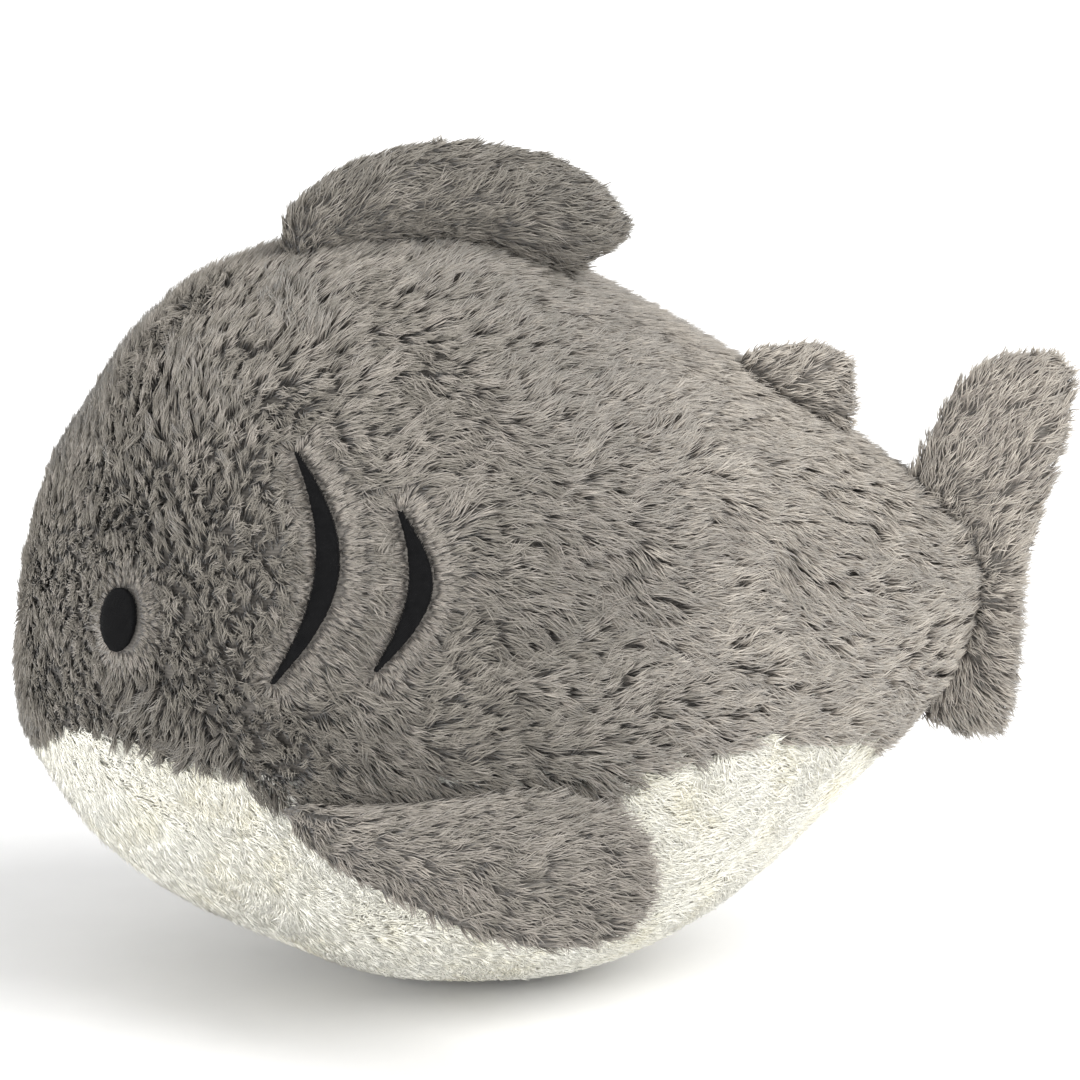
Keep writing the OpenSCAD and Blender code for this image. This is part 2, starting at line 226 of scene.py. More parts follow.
def tree_of(points):
    tree = KDTree(len(points))
    for i, p in enumerate(points):
        tree.insert(p, i)
    tree.balance()
    return tree


# ---- Cloth simulation ----

SIM_FRAMES = 20
PRESSURE = 4.0


def inflate(obj, held, cap):
    """Swells a closed cloth form under pressure, held along its seams, then applies the result.
    No point moves further than cap."""
    start = points_of(obj)
    group = obj.vertex_groups.new(name="seams")
    group.add([int(i) for i in np.flatnonzero(held)], 1.0, "REPLACE")
    cloth = obj.modifiers.new("Cloth", "CLOTH")
    cloth.settings.use_pressure = True
    cloth.settings.uniform_pressure_force = PRESSURE
    cloth.settings.effector_weights.gravity = 0.0
    cloth.settings.vertex_group_mass = group.name
    cloth.settings.tension_stiffness = 12.0
    cloth.settings.compression_stiffness = 8.0
    cloth.settings.bending_stiffness = 0.6
    cloth.settings.quality = 5
    cloth.collision_settings.use_collision = False
    cloth.point_cache.frame_start = 1
    cloth.point_cache.frame_end = SIM_FRAMES
    for f in range(1, SIM_FRAMES + 1):
        bpy.context.scene.frame_set(f)
    graph = bpy.context.evaluated_depsgraph_get()
    step = points_of(obj.evaluated_get(graph)) - start
    size = np.linalg.norm(step, axis=1, keepdims=True)
    step = step * np.minimum(1.0, cap / np.maximum(size, 1e-9))
    obj.modifiers.remove(cloth)
    obj.vertex_groups.remove(group)
    bpy.context.scene.frame_set(1)
    set_points(obj, start + step)


# ---- Materials ----

def link_nodes(name):
    material = bpy.data.materials.new(name)
    material.use_nodes = True
    tree = material.node_tree
    shader = tree.nodes["Principled BSDF"]
    return material, tree, shader


def preset(made, values):
    """Sets a node's properties and unlinked inputs."""
    for key, value in values.items():
        if hasattr(made, key):
            setattr(made, key, value)
        else:
            made.inputs[key].default_value = value


def node(tree, kind, **values):
    made = tree.nodes.new(kind)
    preset(made, values)
    return made


def placed(tree, *textures):
    """Fixes textures to the object's own frame."""
    place = tree.nodes.new("ShaderNodeTexCoord").outputs["Object"]
    for texture in textures:
        tree.links.new(place, texture.inputs["Vector"])


def ramp(tree, source, stops):
    made = tree.nodes.new("ShaderNodeValToRGB")
    tree.links.new(source, made.inputs["Fac"])
    bar = made.color_ramp
    while len(bar.elements) < len(stops):
        bar.elements.new(0.5)
    for element, (place, colour) in zip(bar.elements, stops):
        element.position = place
        element.color = (*colour, 1.0)
    return made.outputs["Color"]


def attribute(tree, name):
    made = tree.nodes.new("ShaderNodeAttribute")
    made.attribute_name = name
    return made.outputs["Fac"]


def mixed(tree, kind, factor, first, second):
    made = tree.nodes.new("ShaderNodeMix")
    made.data_type = "RGBA"
    made.blend_type = kind
    for socket, value in ((made.inputs[0], factor), (made.inputs[6], first), (made.inputs[7], second)):
        if hasattr(value, "is_output"):
            tree.links.new(value, socket)
        elif isinstance(value, tuple):
            socket.default_value = (*value, 1.0)
        else:
            socket.default_value = value
    return made.outputs[2]


def roughened(tree, shader, source, low, high):
    """Roughness that follows a pattern between two values."""
    span = node(tree, "ShaderNodeMapRange", **{"To Min": low, "To Max": high})
    tree.links.new(source, span.inputs["Value"])
    tree.links.new(span.outputs["Result"], shader.inputs["Roughness"])


def embossed(tree, shader, height, strength, distance):
    """Fine relief that follows a pattern."""
    bump = node(tree, "ShaderNodeBump", Strength=strength, Distance=distance)
    tree.links.new(height, bump.inputs["Height"])
    tree.links.new(bump.outputs["Normal"], shader.inputs["Normal"])


def mottled(tree, shader, mottle, grain, share, colours, rough):
    """Two tones and a roughness that follow one texture, darkened by the grain of another."""
    tone = ramp(tree, mottle.outputs["Fac"], ((0.3, colours[0]), (0.7, colours[1])))
    colour = mixed(tree, "MULTIPLY", share, tone, grain.outputs["Color"])
    tree.links.new(colour, shader.inputs["Base Color"])
    roughened(tree, shader, mottle.outputs["Fac"], *rough)


def fur_material(name, along, tones, sheen, rough):
    """Pile fibres: colour changes along the fibre and from fibre to fibre, over a scaly surface. The
    tone attribute also carries painted light and shade for the grey body and fin pile.
    """
    material, tree, shader = link_nodes(name)
    base = ramp(tree, attribute(tree, "along"), along)
    shade = ramp(tree, attribute(tree, "tone"), tones)
    colour = mixed(tree, "MULTIPLY", 1.0, base, shade)
    tree.links.new(colour, shader.inputs["Base Color"])
    place = tree.nodes.new("ShaderNodeUVMap")
    place.uv_map = "OFBake"
    scales = node(tree, "ShaderNodeTexNoise", Scale=300.0, Detail=2.0)
    tree.links.new(place.outputs["UV"], scales.inputs["Vector"])
    roughened(tree, shader, scales.outputs["Fac"], rough - 0.12, rough + 0.12)
    embossed(tree, shader, scales.outputs["Fac"], 0.2, 0.00005)
    preset(shader, {"Specular IOR Level": 0.22, "Sheen Weight": sheen, "Sheen Roughness": 0.5})
    return material


def grey_fur_material():
    along = ((0.0, (0.10, 0.089, 0.077)), (0.35, (0.25, 0.228, 0.203)),
             (0.75, (0.38, 0.355, 0.32)), (1.0, (0.46, 0.43, 0.39)))
    tones = ((0.0, (0.40, 0.388, 0.368)), (0.3, (0.71, 0.70, 0.664)),
             (0.55, (0.93, 0.91, 0.90)), (0.8, (1.16, 1.13, 1.09)), (1.0, (1.55, 1.52, 1.48)))
    return fur_material("grey_pile", along, tones, 0.25, 0.62)


def white_fur_material():
    along = ((0.0, (0.94, 0.92, 0.84)), (0.4, (0.965, 0.95, 0.88)), (1.0, (0.985, 0.975, 0.92)))
    tones = ((0.0, (0.95, 0.925, 0.83)), (0.5, (0.99, 0.985, 0.96)), (1.0, (1.0, 1.0, 0.99)))
    return fur_material("white_pile", along, tones, 0.2, 0.7)


def cloth_material(name, dark, light):
    """Knitted backing cloth: fine ribs crossed by stitches, with a slight mottle."""
    material, tree, shader = link_nodes(name)
    ribs = node(tree, "ShaderNodeTexWave", wave_type="BANDS", bands_direction="Z", Scale=260.0,
                Distortion=2.0)
    knots = node(tree, "ShaderNodeTexVoronoi", Scale=700.0)
    mottle = node(tree, "ShaderNodeTexNoise", Scale=60.0, Detail=4.0)
    placed(tree, ribs, knots, mottle)
    mottled(tree, shader, mottle, ribs, 0.35, (dark, light), (0.82, 0.98))
    embossed(tree, shader, knots.outputs["Distance"], 0.6, 0.0004)
    preset(shader, {"Sheen Weight": 0.3})
    return material


def thread_material(name, dark, light, rough, shine):
    """Sewing or embroidery thread: two plies twisted together, seen as fine slanted lines."""
    material, tree, shader = link_nodes(name)
    twist = node(tree, "ShaderNodeTexWave", wave_type="BANDS", bands_direction="DIAGONAL",
                 Scale=900.0, Distortion=1.0)
    wear = node(tree, "ShaderNodeTexNoise", Scale=240.0, Detail=3.0)
    placed(tree, twist, wear)
    mottled(tree, shader, wear, twist, 0.3, (dark, light), (rough - 0.1, rough + 0.1))
    embossed(tree, shader, twist.outputs["Fac"], 0.5, 0.0001)
    preset(shader, {"Specular IOR Level": shine})
    return material


def fibre_material():
    """Polyester filling: soft white wool of fine crossing fibres."""
    material, tree, shader = link_nodes("fibre_filling")
    strand = node(tree, "ShaderNodeTexNoise", Scale=420.0, Detail=8.0, Distortion=3.0)
    lump = node(tree, "ShaderNodeTexNoise", Scale=55.0, Detail=3.0)
    placed(tree, strand, lump)
    tones = ((0.70, 0.69, 0.66), (0.88, 0.87, 0.85))
    mottled(tree, shader, lump, strand, 0.3, tones, (0.88, 1.0))
    embossed(tree, shader, strand.outputs["Fac"], 0.8, 0.001)
    preset(shader, {"Sheen Weight": 0.4})
    return material


GREY_FUR = grey_fur_material()
WHITE_FUR = white_fur_material()
GREY_CLOTH = cloth_material("grey_backing", (0.11, 0.10, 0.088), (0.18, 0.165, 0.147))
WHITE_CLOTH = cloth_material("white_backing", (0.84, 0.82, 0.75), (0.90, 0.885, 0.82))
GREY_THREAD = thread_material("grey_thread", (0.16, 0.15, 0.14), (0.26, 0.24, 0.22), 0.6, 0.3)
BLACK_THREAD = thread_material("black_satin", (0.004, 0.004, 0.0045), (0.007, 0.007, 0.0075), 0.7, 0.08)
FIBRE = fibre_material()


def dressed(obj, material):
    obj.data.materials.clear()
    obj.data.materials.append(material)


def finished(obj, material, body, slot, *stands_for):
    """Gives a piece its material and, when one is named, its body, and hides the CAD nodes that it
    stands for. The slot is not used.
    """
    dressed(obj, material)
    if stands_for:
        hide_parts(*stands_for)
    if body:
        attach(obj, body)


# ---- Body form: the stuffed shape under the pile ----

FORM_VOXEL = 6.0 * MM
FORM_INSET = 4.0 * MM
FORM_SWELL = 2.5 * MM
SEAM_HOLD = 9.0 * MM
RINGS = 96
SPOKES = 160
PANEL_POINTS = np.vstack([points_of(NODES[n]) for n in PANELS])
CENTRE = (PANEL_POINTS.min(0) + PANEL_POINTS.max(0)) / 2


def hull_of_panels():
    bm = bmesh.new()
    for p in PANEL_POINTS:
        bm.verts.new(p)
    found = bmesh.ops.convex_hull(bm, input=bm.verts)
    spare = {v for v in found["geom_interior"] + found["geom_unused"]
             if isinstance(v, bmesh.types.BMVert)}
    bmesh.ops.delete(bm, geom=list(spare), context="VERTS")
    mesh = bpy.data.meshes.new("body_form")
    bm.to_mesh(mesh)
    bm.free()
    return linked("body_form", mesh)


def near_seams(points):
    seams = np.vstack([points_of(NODES[n]) for n in
                       ("back_seam_thread", "left_belly_seam_thread", "right_belly_seam_thread")])
    tree = tree_of(seams)
    return np.array([tree.find(p)[2] for p in points]) < SEAM_HOLD


def body_form():
    obj = remeshed(hull_of_panels(), FORM_VOXEL)
    obj = smoothed(obj, 2)
    points = points_of(obj)
    points = points - normals_of(obj) * FORM_INSET
    set_points(obj, points)
    inflate(obj, near_seams(points), FORM_SWELL)
    return modified(smoothed(obj, 2), "SUBSURF", levels=1, render_levels=1)


def aim(theta, phi):
    """Direction from the middle of the body: theta from the nose, phi from the back towards +X."""
    return np.stack([np.sin(theta) * np.sin(phi), -np.cos(theta), np.sin(theta) * np.cos(phi)], -1)


def reach_table(form):
    """Distance from the middle to the form, for each ring and spoke."""
    tree = surface_of(form)
    table = np.zeros((RINGS + 1, SPOKES))
    for i in range(RINGS + 1):
        for j in range(SPOKES):
            way = aim(math.pi * i / RINGS, 2.0 * math.pi * j / SPOKES)
            table[i, j] = tree.ray_cast(Vector(CENTRE), Vector(way))[3]
    table[0] = table[0].mean()
    table[-1] = table[-1].mean()
    for _ in range(2):
        ends = np.vstack([table[:1], table, table[-1:]])
        table = (ends[:-2] + 2.0 * table + ends[2:]) / 4.0
        table = (np.roll(table, 1, 1) + 2.0 * table + np.roll(table, -1, 1)) / 4.0
    return table


FORM = body_form()
REACH = reach_table(FORM)
bpy.data.objects.remove(FORM)


def body_point(theta, phi):
    a = np.clip(theta / math.pi, 0.0, 1.0) * RINGS
    b = (phi / (2.0 * math.pi)) % 1.0 * SPOKES
    i = np.minimum(a.astype(int), RINGS - 1)
    j = np.floor(b).astype(int) % SPOKES
    k = (j + 1) % SPOKES
    u = a - i
    v = b - np.floor(b)
    reach = ((1 - u) * ((1 - v) * REACH[i, j] + v * REACH[i, k])
             + u * ((1 - v) * REACH[i + 1, j] + v * REACH[i + 1, k]))
    return CENTRE + aim(theta, phi) * reach[..., None]


def body_normal(theta, phi):
    e = math.pi / RINGS
    low = np.clip(theta - e, 0.002, math.pi)
    high = np.clip(theta + e, 0.0, math.pi - 0.002)
    along = body_point(high, phi) - body_point(low, phi)
    f = e / np.maximum(np.sin(np.clip(theta, 0.02, math.pi - 0.02)), 0.15)
    mid = np.clip(theta, 0.02, math.pi - 0.02)
    around = body_point(mid, phi + f) - body_point(mid, phi - f)
    return unit(np.cross(around, along))


def polar(points):
    v = points - CENTRE
    size = np.linalg.norm(v, axis=1)
    return np.arccos(np.clip(-v[:, 1] / size, -1.0, 1.0)), np.arctan2(v[:, 0], v[:, 2])


SEAM_RISE = 0.05  # radians that the cloth's seam lies above its thread, as the pile hides it


def seam_table():
    """Ring angle of the belly seam against theta, along its thread and on to the belly's tips."""
    belly = points_of(NODES["belly_panel"])
    thread = points_of(NODES["left_belly_seam_thread"])
    thread = thread[np.argsort(thread[:, 1])]
    tips = belly[[belly[:, 1].argmin(), belly[:, 1].argmax()]] * (0.0, 1.0, 1.0)
    share = np.linspace(0.08, 0.92, 8)[:, None]
    front = tips[0] + (thread[:6].mean(0) - tips[0]) * share
    rear = thread[-6:].mean(0) + (tips[1] - thread[-6:].mean(0)) * share
    theta, phi = polar(np.vstack([front, thread, rear]))
    ends = polar(tips)[0]
    order = np.argsort(theta)
    bins = np.array_split(order, 36)
    knots = [theta[b].mean() for b in bins]
    turns = np.array([phi[b].mean() for b in bins]) - SEAM_RISE
    return (np.array([0.0, ends[0], *knots, ends[1], math.pi]),
            np.array([math.pi, math.pi, *turns, math.pi, math.pi]))


SEAM = seam_table()


def seam_phi(theta):
    return np.interp(theta, *SEAM)


# ---- Cloth panels of the body ----

SKIN_ROWS = 150
SKIN_END = 0.01
SEAM_GAP = 0.002
MEAN_RADIUS = 0.13
TUCK = 1.0 * MM
TUCK_REACH = 2.5 * MM
GATHER = 0.25 * MM
GATHER_REACH = 5.0 * MM
GATHERS = 190.0
FLOOR_REST = 0.6 * MM
LEAST_CLOTH = 0.3 * MM


def shell_faces(rows, columns):
    """Faces of a closed shell between two grids of rows x columns points, outer grid first."""
    index = np.arange(rows * columns).reshape(rows, columns)
    back = index + rows * columns

    def cells(g):
        return np.stack([g[:-1, :-1], g[1:, :-1], g[1:, 1:], g[:-1, 1:]], -1).reshape(-1, 4)

    def wall(a, b):
        return np.stack([a[:-1], a[1:], b[1:], b[:-1]], -1)

    return np.vstack([cells(index), cells(back)[:, ::-1],
                      wall(index[:, 0], back[:, 0])[:, ::-1], wall(index[:, -1], back[:, -1]),
                      wall(index[0], back[0]), wall(index[-1], back[-1])[:, ::-1]])


def panel_skin(name, edge_a, edge_b, first, last, columns, material, slot, stands_for):
    """Backing cloth between two ring angles, drawn in where it is sewn."""
    theta = np.linspace(first, last, SKIN_ROWS)[:, None] * np.ones((1, columns))
    share = np.linspace(0.0, 1.0, columns)[None, :]
    a = edge_a(theta)
    b = edge_b(theta)
    phi = a + (b - a) * share
    outer = body_point(theta, phi)
    normal = body_normal(theta, phi)
    width = np.abs(b - a) * np.sin(theta) * MEAN_RADIUS
    edge = np.minimum(share, 1.0 - share) * width
    tuck = TUCK * np.exp(-(edge / TUCK_REACH) ** 2)
    gather = GATHER * np.sin(theta * GATHERS) * np.exp(-(edge / GATHER_REACH) ** 2)
    outer = outer - normal * (tuck + gather)[..., None]
    flat = normal.reshape(-1, 3)
    distance = patch_distance(outer.reshape(-1, 3), flat)[0]
    outer = raised(outer.reshape(-1, 3), flat, distance).reshape(outer.shape)
    outer[..., 2] = np.maximum(outer[..., 2], FLOOR_CLEAR + FLOOR_REST)
    inner = outer - normal * CLOTH
    inner[..., 2] = np.maximum(inner[..., 2], outer[..., 2].min() + LEAST_CLOTH)
    points = np.vstack([outer.reshape(-1, 3), inner.reshape(-1, 3)])
    skin = mesh_object(name, points, shell_faces(*theta.shape))
    finished(skin, material, "shark_body", slot, stands_for)


def body_skins():
    gap = SEAM_GAP
    panel_skin("left_side_skin", lambda t: gap + 0 * t, lambda t: seam_phi(t) - gap,
               SKIN_END, math.pi - SKIN_END, 70, GREY_CLOTH, "grey_plush", "left_side_panel")
    panel_skin("right_side_skin", lambda t: -seam_phi(t) + gap, lambda t: -gap + 0 * t,
               SKIN_END, math.pi - SKIN_END, 70, GREY_CLOTH, "grey_plush", "right_side_panel")
    panel_skin("belly_skin", lambda t: seam_phi(t) + gap, lambda t: 2.0 * math.pi - seam_phi(t) - gap,
               SEAM[0][1] + SKIN_END, SEAM[0][-2] - SKIN_END, 90, WHITE_CLOTH, "white_plush",
               "belly_panel")


# ---- Pile ----
# A strand is a bent three-sided fibre: a ring of corners at its root, one half way, and a tip.

MAP_CELLS = 8
TONES = MAP_CELLS * MAP_CELLS
CELL_EDGE = 0.08
CELL_SPAN = 0.84
PER_PIECE = 19000
STRAND_POINTS = 7
BENDS = 24
THICK = 0.24 * MM
GREY_SPACING = 3.0 * MM
WHITE_SPACING = 2.9 * MM
EDGE_SPACING = 1.6 * MM
LOCK = 5.0 * MM
RING_TURN = np.array([0.0, 2.0, 4.0]) * math.pi / 3.0


def strand_pattern():
    """Faces of one strand, and the place of each face corner in the strand's cell of the map."""
    faces = []
    uvs = []
    for k in range(3):
        n = (k + 1) % 3
        a = k / 3.0
        b = (k + 1) / 3.0
        faces += [(k, n, n + 3), (k, n + 3, k + 3), (k + 3, n + 3, 6)]
        uvs += [(a, 0.0), (b, 0.0), (b, 0.5)]
        uvs += [(a, 0.0), (b, 0.5), (a, 0.5)]
        uvs += [(a, 0.5), (b, 0.5), ((a + b) / 2.0, 1.0)]
    faces.append((2, 1, 0))
    uvs += [(0.9, 0.02), (0.5, 0.02), (0.7, 0.06)]
    return np.array(faces), np.array(uvs)


STRAND_FACES, STRAND_UVS = strand_pattern()
STATIONS = np.array([0.0, 0.5, 1.0])


def grow(tufts, seed):
    """Strands of every tuft: their corner points, 7 a strand, and each strand's tone.
    A tuft has a root, a normal, a flow direction, a length, a lean at its root and tip in radians,
    a spread, a pinch, a thickness, a tone and a gather, which draws its tip towards its lock."""
    rng = np.random.default_rng(seed)
    per = tufts["per"]
    n = len(tufts["root"])
    of = picked(tufts, np.repeat(np.arange(n), per))
    root = of["root"]
    normal = of["normal"]
    flow = of["flow"]
    m = len(root)
    side = np.cross(normal, flow)
    spread = of["spread"] * np.sqrt(rng.uniform(0.02, 1.0, m))
    turn = rng.uniform(0.0, 2.0 * math.pi, m)
    offset = flow * (spread * np.cos(turn))[:, None] + side * (spread * np.sin(turn))[:, None]
    heading = turned(flow, normal, rng.normal(0.0, 1.0, m) * of["stray"])
    crosswise = np.cross(normal, heading)
    length = of["length"] * rng.uniform(0.78, 1.12, m)
    low = of["lean"] + rng.normal(0.0, 0.10, m)
    high = of["bend"] + rng.normal(0.0, 0.09, m)
    pinch = of["pinch"] * rng.uniform(0.7, 1.1, m)
    curl = rng.normal(0.0, 0.5, m) * of["spread"] * 0.5
    thick = of["thick"] * rng.uniform(0.8, 1.2, m)
    fine = np.linspace(0.0, 1.0, BENDS + 1)
    angle = low[:, None] + (high - low)[:, None] * fine
    steps_up = np.cumsum((np.cos(angle[:, 1:]) + np.cos(angle[:, :-1])) / (2.0 * BENDS), 1)
    steps_on = np.cumsum((np.sin(angle[:, 1:]) + np.sin(angle[:, :-1])) / (2.0 * BENDS), 1)
    rise = np.concatenate([np.zeros((m, 1)), steps_up], 1)
    run = np.concatenate([np.zeros((m, 1)), steps_on], 1)
    places = np.rint(STATIONS * BENDS).astype(int)
    width = np.array([0.9, 1.1])
    phase = rng.uniform(0.0, 2.0 * math.pi, m)
    points = np.empty((m, STRAND_POINTS, 3))
    for k, place in enumerate(places):
        s = STATIONS[k]
        middle = (root + offset * (1.0 - pinch * s ** 1.3)[:, None]
                  + normal * (length * rise[:, place])[:, None]
                  + heading * (length * run[:, place])[:, None]
                  + of["gather"] * s ** 1.5
                  + crosswise * (curl * math.sin(math.pi * s))[:, None])
        if k == 2:
            points[:, -1] = middle
            continue
        tilt = angle[:, place]
        upward = heading * np.cos(tilt)[:, None] - normal * np.sin(tilt)[:, None]
        for c in range(3):
            way = phase + RING_TURN[c]
            points[:, 3 * k + c] = (middle + crosswise * (thick * width[k] * np.cos(way))[:, None]
                                    + upward * (thick * width[k] * np.sin(way))[:, None])
    points[:, :, 2] = np.maximum(points[:, :, 2], FLOOR_CLEAR)
    tone = of["tone"] + rng.normal(0.0, 0.09, m)
    return points, np.clip(tone, 0.0, 0.999)


def fur_piece(name, points, tone, material):
    """One piece of pile from strand points, with its colour attributes and map cells."""
    m = len(points)
    corners = (STRAND_FACES[None] + STRAND_POINTS * np.arange(m)[:, None, None]).reshape(-1, 3)
    obj = mesh_object(name, points.reshape(-1, 3), corners)
    mesh = obj.data
    kind = np.floor(tone * TONES)
    along = np.repeat(STATIONS, [3, 3, 1])
    values = mesh.attributes.new("along", "FLOAT", "POINT")
    values.data.foreach_set("value", np.tile(along, m).astype(np.float32))
    values = mesh.attributes.new("tone", "FLOAT", "POINT")
    shade = np.repeat((kind + 0.5) / TONES, STRAND_POINTS)
    values.data.foreach_set("value", shade.astype(np.float32))
    cell = np.stack([kind % MAP_CELLS, kind // MAP_CELLS], -1)
    uv = (cell[:, None, :] + CELL_EDGE + CELL_SPAN * STRAND_UVS[None]) / MAP_CELLS
    layer = mesh.uv_layers.new(name="OFBake")
    layer.data.foreach_set("uv", uv.astype(np.float32).ravel())
    mesh.materials.append(material)
    return obj


def cover_with_fur(name, tufts, seed, material, place):
    """Grows tufts as one or more pieces and calls place on each one; for the body's pile, place attaches
    it to the body.
    """
    points, tone = grow(tufts, seed)
    count = max(1, math.ceil(len(points) / PER_PIECE))
    for k, part in enumerate(np.array_split(np.arange(len(points)), count)):
        obj = fur_piece(f"{name}_{k + 1}", points[part], tone[part], material)
        place(obj)


def tufts_at(root, normal, flow, per, **looks):
    """Tufts at the given roots; a look that is one number is the same for all of them."""
    made = {"per": per, "root": root, "normal": normal, "flow": flow}
    for key, value in looks.items():
        made[key] = np.full(len(root), value) if np.ndim(value) == 0 else value
    return made


def picked(tufts, keep):
    return {k: (v if k == "per" else v[keep]) for k, v in tufts.items()}


def body_lattice(spacing, seed):
    """Evenly scattered places on the body, as theta and phi."""
    rng = np.random.default_rng(seed)
    line = np.linspace(0.0, math.pi, 400)
    profile = body_point(line, np.full(400, math.pi / 2))
    arc = arc_lengths(profile)
    rows = np.interp(np.arange(spacing / 2, arc[-1], spacing), arc, line)
    thetas = []
    phis = []
    circle = np.linspace(0.0, 2.0 * math.pi, 361)
    for t in rows:
        ring = body_point(np.full(361, t), circle)
        arcs = arc_lengths(ring)
        count = max(3, int(round(arcs[-1] / spacing)))
        spots = (np.arange(count) + rng.uniform() + rng.uniform(-0.42, 0.42, count)) % count
        phis.append(np.interp(spots / count * arcs[-1], arcs, circle))
        shift = rng.uniform(-0.45, 0.45, count) * spacing / arc[-1] * math.pi
        thetas.append(np.full(count, t) + shift)
    return np.clip(np.concatenate(thetas), 0.004, math.pi - 0.004), np.concatenate(phis)


def scattered(points, spacing):
    """Indexes of the points that stay at least spacing apart, taken in order."""
    cells = np.floor(points / spacing).astype(int).tolist()
    steps = [(i, j, k) for i in (-1, 0, 1) for j in (-1, 0, 1) for k in (-1, 0, 1)]
    taken = {}
    kept = []
    for index, (p, c) in enumerate(zip(points.tolist(), cells)):
        near = [q for s in steps for q in taken.get((c[0] + s[0], c[1] + s[1], c[2] + s[2]), ())]
        if all(math.dist(p, q) >= spacing for q in near):
            taken.setdefault(tuple(c), []).append(p)
            kept.append(index)
    return np.array(kept)


def drawn_together(root, normal, spacing, seed, share):
    """How far each tuft's tip is pulled sideways to the middle of its lock of fur."""
    shuffled = root[np.random.default_rng(seed).permutation(len(root))]
    locks = shuffled[scattered(shuffled, spacing)]
    tree = tree_of(locks)
    pull = locks[[tree.find(p)[1] for p in root]] - root
    pull = pull - normal * np.sum(pull * normal, axis=1, keepdims=True)
    size = np.linalg.norm(pull, axis=1, keepdims=True)
    pull = pull * np.minimum(1.0, spacing / np.maximum(size, 1e-9))
    return pull * (share if np.ndim(share) == 0 else share[:, None])


PATCHES = {side: [f"{side}_{patch}" for patch in ("eye", "front_gill", "rear_gill")]
           for side in ("left", "right")}
PATCH_REACH = 0.03
PAD_LIFT = 2.6 * MM
PAD_REACH = 13.0 * MM


def patch_distance(points, normals):
    """Distance along the surface from each point to the nearest embroidery, and the way from it."""
    distance = np.full(len(points), 1.0)
    way = np.zeros((len(points), 3))
    for name in PATCHES["left"] + PATCHES["right"]:
        tree = surface_of(NODES[name])
        low = points_of(NODES[name]).min(0) - PATCH_REACH
        high = points_of(NODES[name]).max(0) + PATCH_REACH
        for i in np.flatnonzero(np.all((points > low) & (points < high), axis=1)):
            gap = points[i] - np.array(tree.find_nearest(Vector(points[i]))[0])
            gap = gap - normals[i] * (gap @ normals[i])
            size = np.linalg.norm(gap)
            if size < distance[i]:
                distance[i] = size
                way[i] = gap / max(size, 1e-9)
    return distance, way


# Where the pile changes: ranges of y from nose to tail, and of z up from the floor.
NOSE_TIP = (-0.165, -0.135)
NOSE_END = (-0.172, -0.150)
CHEEK_END = (-0.105, -0.07)
FIN_FRONT = (-0.125, -0.072)
FIN_REAR = (0.02, 0.04)
FIN_TIP = (0.058, 0.076)
REAR = (-0.02, 0.10)
TAIL = (0.11, 0.14)
LOW_SIDE = (0.105, 0.16)
UNDER_TAIL = (0.125, 0.15)
BACK = (0.17, 0.25)
CROWN = (0.20, 0.25)


def body_tufts(spacing, seed):
    """Places for tufts on the body, and which are grey. The grey hangs over the belly's seam above
    the pectoral fins, and draws back from it at the nose and the tail."""
    rng = np.random.default_rng(seed)
    theta, phi = body_lattice(spacing, seed)
    root = body_point(theta, phi)
    normal = body_normal(theta, phi)
    folded = np.minimum(phi, 2.0 * math.pi - phi)
    y = root[:, 1]
    hang = 0.14 * (ease(y, *FIN_FRONT) - ease(y, *FIN_REAR))
    hang = hang + 0.06 * (ease(y, *FIN_REAR) - ease(y, *FIN_TIP))
    nose = 1.0 - ease(y, *NOSE_TIP)
    hang = hang - 0.09 * nose - 0.05 * ease(y, *TAIL)
    line = seam_phi(theta + 0.065 * nose)
    stray = (hang + 0.016 * waves(root, 24 * MM, 77)) * ease(math.pi - line, 0.02, 0.4)
    grey = folded < line + stray
    return rng, root, normal, grey


def on_body(obj):
    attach(obj, "shark_body")


def raised(points, normal, distance):
    """Points moved out to meet the embroidery, which is sewn at the level of the finished cloth."""
    lift = PAD_LIFT * (1.0 - ease(distance, 1.0 * MM, PAD_REACH))
    return points + normal * lift[:, None]


